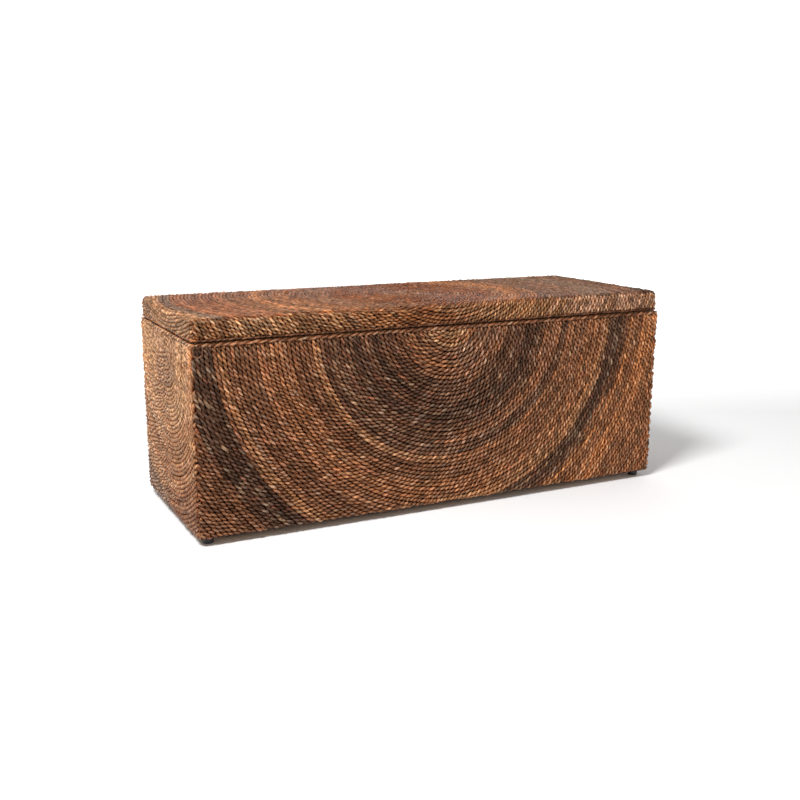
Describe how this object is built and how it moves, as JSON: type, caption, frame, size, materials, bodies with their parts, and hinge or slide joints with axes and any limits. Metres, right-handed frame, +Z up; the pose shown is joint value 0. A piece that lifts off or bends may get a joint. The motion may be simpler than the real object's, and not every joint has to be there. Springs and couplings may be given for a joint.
{
  "type": "rope-woven storage trunk",
  "caption": "Long rectangular storage trunk in twisted plant-fibre rope laid in concentric arcs over a timber frame, with a hinged lift-up lid and round glides.",
  "frame": {"origin": "on the floor under the middle of the trunk's overall box", "axes": "+Z up, +X along the length to the right seen from the front, the front faces -Y"},
  "size_m": [1.1938, 0.4444, 0.4825],
  "materials": {
    "rope_brown": "twisted plant-fibre rope, mixed browns, dull with a slight sheen",
    "rope_tan": "twisted plant-fibre rope, golden tan, dull with a slight sheen",
    "rope_trim": "tightly twisted trim rope, dark brown",
    "timber": "planed softwood, unlacquered",
    "plywood": "sanded plywood, clear matt",
    "lid_lining": "hardboard, stained dark brown, matt",
    "glide_plastic": "moulded black",
    "bumper_rubber": "soft black",
    "zinc_steel": "zinc-plated"
  },
  "bodies": {
    "base": {"corner_post_front_left": "timber", "corner_post_front_right": "timber", "corner_post_back_left": "timber", "corner_post_back_right": "timber", "bottom_rail_front": "timber", "bottom_rail_back": "timber", "bottom_rail_left": "timber", "bottom_rail_right": "timber", "top_rail_front": "timber", "top_rail_back": "timber", "top_rail_left": "timber", "top_rail_right": "timber", "wall_board_front": "plywood", "wall_board_back": "plywood", "wall_board_left": "plywood", "wall_board_right": "plywood", "floor_board": "plywood", "weave_front": "rope_brown", "weave_back": "rope_brown", "weave_left": "rope_tan", "weave_right": "rope_tan", "rim_rope": "rope_trim", "glide_front_left": "glide_plastic", "glide_front_right": "glide_plastic", "glide_back_left": "glide_plastic", "glide_back_right": "glide_plastic", "glide_nails": "zinc_steel", "hinge_base_leaf_left": "zinc_steel", "hinge_base_leaf_right": "zinc_steel", "hinge_pin_left": "zinc_steel", "hinge_pin_right": "zinc_steel", "hinge_base_screws": "zinc_steel", "stay_base_bracket_left": "zinc_steel", "stay_base_bracket_right": "zinc_steel", "stay_base_rivets": "zinc_steel", "stay_base_screws": "zinc_steel", "lid_bumpers": "bumper_rubber"},
    "lid": {"lid_rail_front": "timber", "lid_rail_back": "timber", "lid_rail_left": "timber", "lid_rail_right": "timber", "lid_rail_middle": "timber", "lid_board": "plywood", "lid_lining": "lid_lining", "lid_weave": "rope_brown", "hinge_lid_leaf_left": "zinc_steel", "hinge_lid_leaf_right": "zinc_steel", "hinge_lid_screws": "zinc_steel", "stay_lid_bracket_left": "zinc_steel", "stay_lid_bracket_right": "zinc_steel", "stay_lid_rivets": "zinc_steel", "stay_lid_screws": "zinc_steel"},
    "stay_lower_left": {"stay_lower_arm_left": "zinc_steel", "stay_elbow_rivet_left": "zinc_steel"},
    "stay_upper_left": {"stay_upper_arm_left": "zinc_steel"},
    "stay_lower_right": {"stay_lower_arm_right": "zinc_steel", "stay_elbow_rivet_right": "zinc_steel"},
    "stay_upper_right": {"stay_upper_arm_right": "zinc_steel"}
  },
  "joints": [
    {"name": "lid_hinge", "type": "hinge", "parent": "base", "child": "lid", "pos_m": [0, 0.21925, 0.434], "axis": [-1, 0, 0], "range_deg": [0, 95]},
    {"name": "stay_lower_left_pivot", "type": "hinge", "parent": "base", "child": "stay_lower_left", "pos_m": [-0.552, 0.16625, 0.304], "axis": [-1, 0, 0], "range_deg": [0, 95]},
    {"name": "stay_elbow_left", "type": "hinge", "parent": "stay_lower_left", "child": "stay_upper_left", "pos_m": [-0.552, 0.02625, 0.295], "axis": [1, 0, 0], "range_deg": [0, 95]},
    {"name": "stay_lower_right_pivot", "type": "hinge", "parent": "base", "child": "stay_lower_right", "pos_m": [0.552, 0.16625, 0.304], "axis": [-1, 0, 0], "range_deg": [0, 95]},
    {"name": "stay_elbow_right", "type": "hinge", "parent": "stay_lower_right", "child": "stay_upper_right", "pos_m": [0.552, 0.02625, 0.295], "axis": [1, 0, 0], "range_deg": [0, 95]}
  ],
  "couplings": [
    {"joint": "stay_lower_left_pivot", "follows": "lid_hinge", "ratio": 1},
    {"joint": "stay_elbow_left", "follows": "lid_hinge", "ratio": 1},
    {"joint": "stay_lower_right_pivot", "follows": "lid_hinge", "ratio": 1},
    {"joint": "stay_elbow_right", "follows": "lid_hinge", "ratio": 1}
  ]
}
